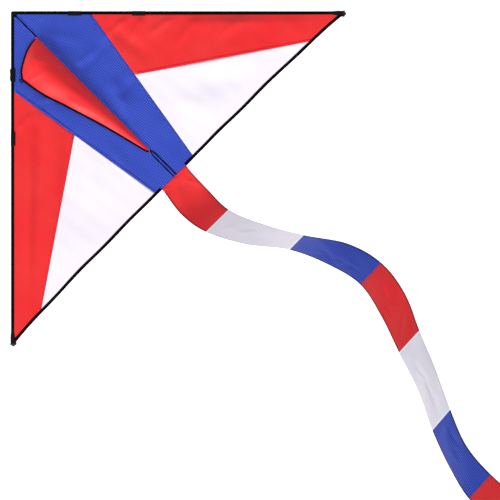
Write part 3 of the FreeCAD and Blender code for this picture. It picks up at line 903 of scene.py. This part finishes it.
def tip_stop(side):
    """Three rounded lobes side by side on a fourth, moulded in one."""
    wing = name_of_side[side]
    lobes = []
    for t, inward, z, size in TIP_LOBES:
        start_shape()
        x, s = edge_place(t, inward, side)
        bpy.ops.mesh.primitive_uv_sphere_add(segments=28, ring_count=18, radius=size * MM,
                                             location=place(x, s, max(z, size)))
        lobes.append(bpy.context.object)
    whole = joined(f"{wing}_tip_stop_lobes", lobes)
    bpy.ops.object.transform_apply(location=True, rotation=True, scale=True)
    melt = whole.modifiers.new("melt", "REMESH")
    melt.mode, melt.voxel_size = "VOXEL", MELT_GRAIN * MM
    bpy.ops.object.modifier_apply(modifier="melt")
    soften = whole.modifiers.new("soften", "SMOOTH")
    soften.iterations = 8
    bpy.ops.object.modifier_apply(modifier="soften")
    return solid_piece(f"{wing}_tip_stop", hook_plastic, body_of_side[side],
                       f"{wing}_tip_knot")


for side in (1, -1):
    tip_pocket(side)
    tip_stop(side)
print("two wing tips")


# %% Nose webbing
NOSE_PAD = 15.5          # length of the pad along each leading edge
NOSE_ROUND = 4.6         # radius of its corner


def nose_webbing():
    """A small pad folded round the nose: a subdivided cube pressed into a rounded corner."""
    start_shape()
    bpy.ops.mesh.primitive_cube_add(size=1.0)
    shape = bpy.context.object
    bpy.ops.object.mode_set(mode="EDIT")
    bpy.ops.mesh.subdivide(number_cuts=13)
    bpy.ops.object.mode_set(mode="OBJECT")
    for vertex in shape.data.vertices:
        a, b, up = (vertex.co.x + 0.5), (vertex.co.y + 0.5), vertex.co.z
        first, second = a * NOSE_PAD, b * NOSE_PAD      # along the right and the left leading edge
        outer = max(0.0, NOSE_ROUND - first) + max(0.0, NOSE_ROUND - second)
        if first < NOSE_ROUND and second < NOSE_ROUND:
            reach = math.hypot(NOSE_ROUND - first, NOSE_ROUND - second)
            if reach > NOSE_ROUND:
                first, second = (NOSE_ROUND - (NOSE_ROUND - q) * NOSE_ROUND / reach for q in (first, second))
        x, s = (first - second) * HALF, (first + second) * HALF
        top = 13.6 - 0.10 * outer - 0.35 * (2 * abs(up)) ** 4
        bottom = 4.9 + 0.2 * outer
        z = bottom + (up + 0.5) * (top - bottom)
        vertex.co = place(x, s + 0.3, z)
    made = solid_piece("nose_webbing", webbing, None, "nose_patch")
    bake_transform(made)
    return made


nose_webbing()
print("nose webbing")


# %% [markdown]
# ## Tow loop
# The flying line clips to a small loop of webbing at the keel's outer corner. A ring is a torus, made at
# its place and pressed a little flat.

# %% Tow loop
def tow_tab():
    low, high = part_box("tow_tab")
    middle = (low + high) / 2
    start_shape()
    bpy.ops.mesh.primitive_torus_add(major_radius=3.7 * MM, minor_radius=1.55 * MM, major_segments=40,
                                     minor_segments=14, location=middle)
    bpy.ops.object.mode_set(mode="EDIT")
    bpy.ops.mesh.select_all(action="SELECT")
    bpy.ops.transform.resize(value=(1.0, 1.12, 0.72))
    bpy.ops.object.mode_set(mode="OBJECT")
    return solid_piece("tow_loop", webbing, "keel", "tow_tab")


tow_tab()
print("tow loop")

# %% [markdown]
# ## Tail
# The tail is one long ribbon of coloured panels, sewn end to end and hemmed along both sides. It lies on
# its right edge with the left edge lifted, and weaves from side to side. A smooth curve through a few
# places down its length gives both edges. Each panel is a sheet between two seams, and bends into the
# next one over its first stretch.

# %% The ribbon's course
# Each place is (s, middle's x, width seen from above, right edge's height, rise to the left edge).
TAIL_PLACES = np.array([
    (601.0, -7.0, 85.0, 12.2, 0.0),
    (676.0, -13.0, 92.0, 3.0, 19.0),
    (752.0, -4.5, 80.5, 1.0, 44.0),
    (841.0, 38.0, 71.0, 0.6, 58.0),
    (930.0, 98.0, 53.0, 0.6, 74.0),
    (1024.0, 151.0, 74.0, 0.6, 55.0),
    (1119.0, 175.0, 78.0, 0.6, 49.0),
    (1216.0, 159.0, 85.0, 0.6, 36.0),
    (1314.0, 120.5, 77.0, 0.6, 50.0),
    (1411.0, 84.5, 70.0, 0.6, 60.0),
    (1508.0, 39.0, 70.0, 0.6, 60.0),
    (1603.0, 3.5, 68.5, 0.6, 61.0),
    (1698.0, -11.5, 83.0, 0.6, 40.0),
    (1794.0, -4.0, 85.0, 0.6, 36.0),
    (1890.0, 13.0, 87.0, 0.6, 30.0),
    (1986.0, 26.0, 88.0, 0.6, 27.0),
    (2082.0, 31.0, 90.0, 0.6, 20.0),
    (2178.0, 29.0, 91.0, 0.6, 14.0),
    (2274.0, 23.0, 92.0, 0.6, 5.0)])
TAIL_WIDTH, TAIL_PANELS = 92.0, 9
TAIL_HEM_IN = 0.46       # where its hems start, as a share of its width from the middle
TAIL_COLOURS = ("red", "white", "blue")


print("the tail runs back", round(float(TAIL_PLACES[-1, 0] - TAIL_PLACES[0, 0])), "mm")

# %% Creases of the tail
# Small creases lie at random on the ribbon, the same ones each time.
crumple = random.Random(5)
TAIL_FOLDS = []
for _ in range(64):
    middle, way = (crumple.uniform(-38, 38), crumple.uniform(20, 1690)), crumple.uniform(-0.9, 0.9)
    half = crumple.uniform(14, 34)
    TAIL_FOLDS.append((middle[0] - half * math.sin(way), middle[1] - half * math.cos(way),
                       middle[0] + half * math.sin(way), middle[1] + half * math.cos(way),
                       crumple.uniform(4.5, 9), crumple.choice((-1, 1)) * crumple.uniform(1.4, 4.2)))


print(len(TAIL_FOLDS), "small creases")


# %% Where each point of the ribbon lies
def tail_course(q):
    """The ribbon at q, counted in places down its length: (s, middle, width, low edge, rise)."""
    q = float(np.clip(q, 0, len(TAIL_PLACES) - 1))
    i = min(int(q), len(TAIL_PLACES) - 2)
    t = q - i
    rows = [TAIL_PLACES[max(i - 1, 0)], TAIL_PLACES[i], TAIL_PLACES[i + 1],
            TAIL_PLACES[min(i + 2, len(TAIL_PLACES) - 1)]]
    a, b, c, d = rows
    return 0.5 * (2 * b + (c - a) * t + (2 * a - 5 * b + 4 * c - d) * t * t
                  + (3 * b - a - 3 * c + d) * t ** 3)


def tail_point(q, across):
    """A place on the ribbon. across runs from -0.5 on the left edge to 0.5 on the right."""
    s, middle, width, low, rise = tail_course(q)
    height = max(low, 0.6) + rise * (0.5 - across)
    sag = 1 - (2 * across) ** 2
    seam_near = min(q / 2 % 1, 1 - q / 2 % 1)
    free = smooth_step(seam_near, 0.0, 0.22)
    slack = free * sag * (2.0 * math.sin(q * 2.1) + 1.6 * math.sin(q * 4.7 + across * 5) - 2.5)
    curl = free * 0.8 * math.sin(q * 7.3 + (3 if across > 0 else 0)) * (2 * abs(across)) ** 3
    bow = 5.0 * sag * smooth_step(rise, 20, 60) * (1 if q < 4 else -0.6) * free
    lift = max(0.5, height + slack * 0.9 + curl)
    return middle + across * width + bow * 0.6, s - 3.0 * sag * free, lift


print("tail starts at", [round(float(v), 1) for v in tail_point(0, 0)])

# %% The panels of the tail
CREASE_STEP = 95.0       # cloth between two of the course's places


def tail_panel(number):
    colour = TAIL_COLOURS[(number - 1) % 3]
    node = f"tail_panel_{number}_{colour}"
    qs = np.linspace(2 * number - 2, 2 * number, 61)
    hem_ws = np.array([0.455, 0.47, 0.497, 0.5])
    ws = np.concatenate([-hem_ws[::-1], np.linspace(-0.42, 0.42, 21), hem_ws])
    rows, flat = [], []
    for q in qs:
        rows.append([tail_point(q, w) for w in ws])
        flat.append([(w * TAIL_WIDTH, -q * 100.0) for w in ws])
    rows = np.array(rows)
    rows[..., 2] += np.where(np.abs(ws) > TAIL_HEM_IN, 0.45, 0.0)
    q_at, w_at = np.meshgrid(qs, ws, indexing="ij")
    loose = smooth_step(0.5 - np.abs(q_at / 2 % 1 - 0.5), 0.0, 0.22) * (1 - (2 * w_at) ** 2)
    creases = fold_height(w_at * TAIL_WIDTH, q_at * CREASE_STEP, TAIL_FOLDS)
    rows[..., 2] = np.maximum(rows[..., 2] + loose * creases, 0.5)
    made = sheet_mesh(f"tail_cloth_{number}_{colour}", rows, flat, 0.35, CLOTH_OF[colour])
    # The hem strips take the darker hem colours: doubled cloth, with painted shade along the rolled edges.
    made.data.materials.append(HEM_SHADE_OF[colour])
    across_cloth = made.data.uv_layers["flat"].data
    for face in made.data.polygons:
        out = sum(abs(across_cloth[i].uv.x) for i in face.loop_indices) / len(face.loop_indices)
        face.material_index = int(out > TAIL_HEM_IN * TAIL_WIDTH * MM)
    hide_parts(node)
    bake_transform(made)
    return made, rows


tail, tail_rows = {}, {}
for number in range(1, TAIL_PANELS + 1):
    tail[number], tail_rows[number] = tail_panel(number)
print(TAIL_PANELS, "tail panels,", round(sum(float(np.linalg.norm(np.diff(r[:, 14], axis=0), axis=1).sum())
                                             for r in tail_rows.values())), "mm in all")

# %% Seams of the tail
SEAM_ROLL = [0.1, 0.7, 1.0, 0.7, 0.2]    # a rolled lap stands a millimetre proud
for number in range(2, TAIL_PANELS + 1):
    before, after = (TAIL_COLOURS[(number - k) % 3] for k in (2, 1))
    colour, finish = before, CLOTH_OF[before]
    # Where a white panel meets the seam, the lap takes the brighter white, a painted highlight along it.
    if "white" in (before, after):
        colour, finish = "white", white_seam_highlight
    ending = tail_rows[number - 1]
    back = ending[-2, 1:-1] - ending[-1, 1:-1]
    ends = np.stack([ending[-1, 1:-1] + back * k * 0.35 + np.array([0, 0, up])
                     for k, up in enumerate(SEAM_ROLL)], axis=1)
    flat = np.stack(np.broadcast_arrays(np.arange(len(SEAM_ROLL))[None] * 1.3,
                                        (np.arange(len(ends)) * 3.4)[:, None]), axis=-1)
    lap = sheet_mesh(f"tail_seam_{number}", ends, flat, 0.3, finish)
    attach(lap, f"tail_{number - 1}")

print("tail seams lapped")

# %% Header and end hem of the tail
header_xs = np.linspace(HEADER[0], HEADER[1], 50)
header_path = np.stack([header_xs, np.full(50, TRAILING_S - 1.4), np.full(50, SAIL_Z + 0.35)], axis=1)
header = loop_along("tail_header_tape", header_path, folded_tape(10.4, 2.3), red_cloth, ROOT,
                    across=np.tile([0.0, 1.0, 0.0], (50, 1)))
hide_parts("tail_header")
end_rows = tail_rows[TAIL_PANELS]
end_path = end_rows[-1] + np.array([0, 8.5, 0.1])
end_hem = loop_along("tail_end_fold", end_path, folded_tape(9.5, 1.5), blue_cloth,
                     f"tail_{TAIL_PANELS}", across=end_rows[-3] - end_rows[-1])
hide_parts("tail_end_hem")
print("tail sewn on and hemmed")
